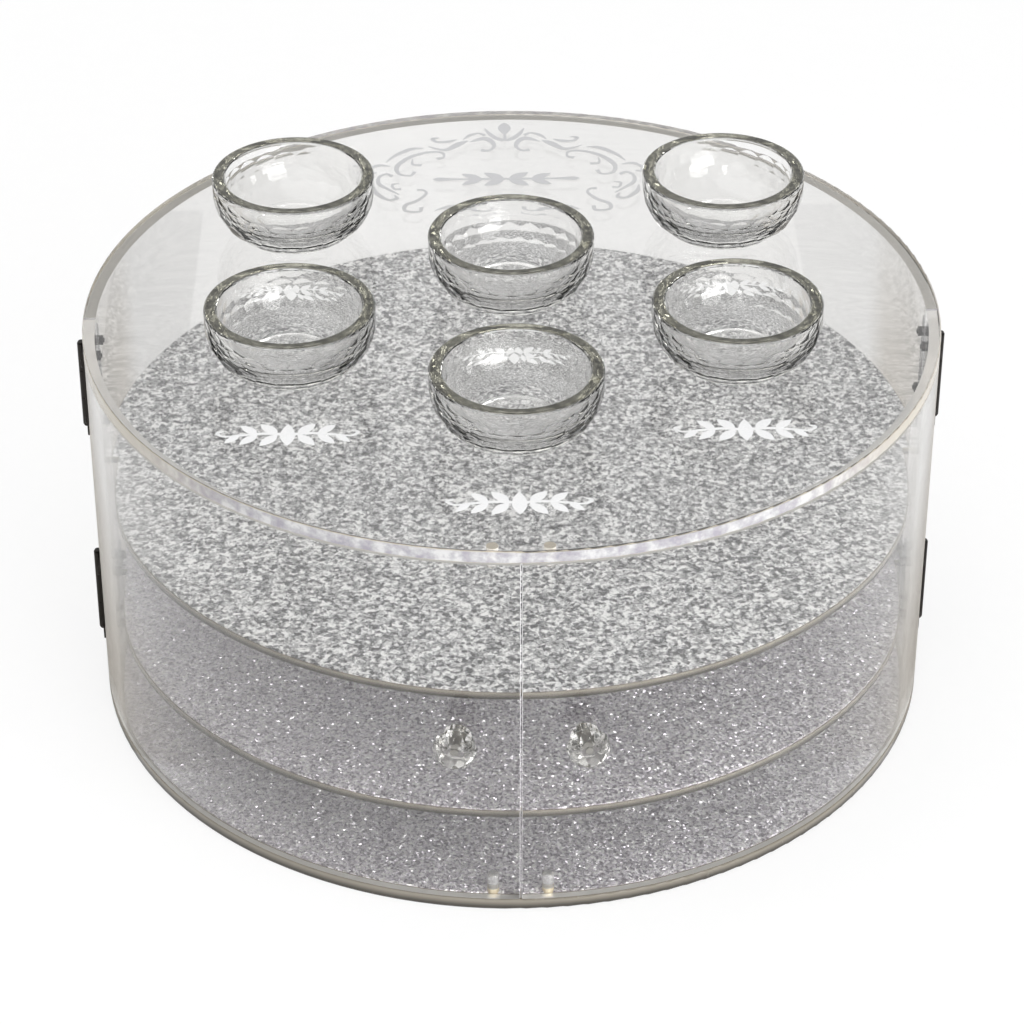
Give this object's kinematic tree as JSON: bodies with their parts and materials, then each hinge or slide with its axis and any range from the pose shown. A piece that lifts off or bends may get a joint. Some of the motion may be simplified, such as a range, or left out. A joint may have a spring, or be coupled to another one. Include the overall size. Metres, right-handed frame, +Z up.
{
  "type": "seder plate",
  "caption": "Round three-tier seder plate in clear acrylic with two curved doors, glitter-lined shelves and small glass bowls standing on its top plate.",
  "frame": {"origin": "centre of the base plate's underside", "axes": "+Z up, -Y towards the front where the two doors meet, +X to the right seen from the front"},
  "size_m": [0.3674, 0.3739, 0.2049],
  "materials": {
    "clear_acrylic": "polished",
    "smoked_acrylic": "polished",
    "silver_glitter_sheet": "glitter",
    "nickel_steel": "satin",
    "brass_pin": "satin",
    "cut_crystal": "faceted",
    "bowl_glass": "polished"
  },
  "bodies": {
    "cabinet": {"base_plate": "smoked_acrylic", "base_liner": "silver_glitter_sheet", "lower_shelf": "smoked_acrylic", "lower_liner": "silver_glitter_sheet", "upper_shelf": "smoked_acrylic", "upper_liner": "silver_glitter_sheet", "top_plate": "clear_acrylic", "back_wall": "clear_acrylic", "wall_leaf_lower_left": "nickel_steel", "wall_leaf_lower_right": "nickel_steel", "wall_leaf_upper_left": "nickel_steel", "wall_leaf_upper_right": "nickel_steel", "hinge_pin_lower_left": "nickel_steel", "hinge_pin_lower_right": "nickel_steel", "hinge_pin_upper_left": "nickel_steel", "hinge_pin_upper_right": "nickel_steel", "hinge_screws_wall": "nickel_steel", "hinge_nuts_wall": "nickel_steel", "stop_pin_lower_left": "brass_pin", "stop_pin_lower_right": "brass_pin", "stop_pin_upper_left": "brass_pin", "stop_pin_upper_right": "brass_pin"},
    "left_door": {"door_left": "clear_acrylic", "door_leaf_lower_left": "nickel_steel", "door_leaf_upper_left": "nickel_steel", "hinge_screws_door_left": "nickel_steel", "hinge_nuts_door_left": "nickel_steel", "knob_left": "cut_crystal", "knob_screw_left": "nickel_steel"},
    "right_door": {"door_right": "clear_acrylic", "door_leaf_lower_right": "nickel_steel", "door_leaf_upper_right": "nickel_steel", "hinge_screws_door_right": "nickel_steel", "hinge_nuts_door_right": "nickel_steel", "knob_right": "cut_crystal", "knob_screw_right": "nickel_steel"},
    "bowl_middle": {"bowl_middle": "bowl_glass"},
    "bowl_back_right": {"bowl_back_right": "bowl_glass"},
    "bowl_back_left": {"bowl_back_left": "bowl_glass"},
    "bowl_front_left": {"bowl_front_left": "bowl_glass"},
    "bowl_front_right": {"bowl_front_right": "bowl_glass"},
    "bowl_front_middle": {"bowl_front_middle": "bowl_glass"}
  },
  "joints": [
    {"name": "left_door_swing", "type": "hinge", "parent": "cabinet", "child": "left_door", "pos_m": [-0.18185, 0, 0.088], "axis": [0, 0, -1], "range_deg": [0, 165]},
    {"name": "right_door_swing", "type": "hinge", "parent": "cabinet", "child": "right_door", "pos_m": [0.18185, 0, 0.088], "axis": [0, 0, 1], "range_deg": [0, 165]},
    {"name": "bowl_middle_lift", "type": "slide", "parent": "cabinet", "child": "bowl_middle", "axis": [0, 0, 1], "range_m": [0, 0.06]},
    {"name": "bowl_back_right_lift", "type": "slide", "parent": "cabinet", "child": "bowl_back_right", "axis": [0, 0, 1], "range_m": [0, 0.06]},
    {"name": "bowl_back_left_lift", "type": "slide", "parent": "cabinet", "child": "bowl_back_left", "axis": [0, 0, 1], "range_m": [0, 0.06]},
    {"name": "bowl_front_left_lift", "type": "slide", "parent": "cabinet", "child": "bowl_front_left", "axis": [0, 0, 1], "range_m": [0, 0.06]},
    {"name": "bowl_front_right_lift", "type": "slide", "parent": "cabinet", "child": "bowl_front_right", "axis": [0, 0, 1], "range_m": [0, 0.06]},
    {"name": "bowl_front_middle_lift", "type": "slide", "parent": "cabinet", "child": "bowl_front_middle", "axis": [0, 0, 1], "range_m": [0, 0.06]}
  ]
}
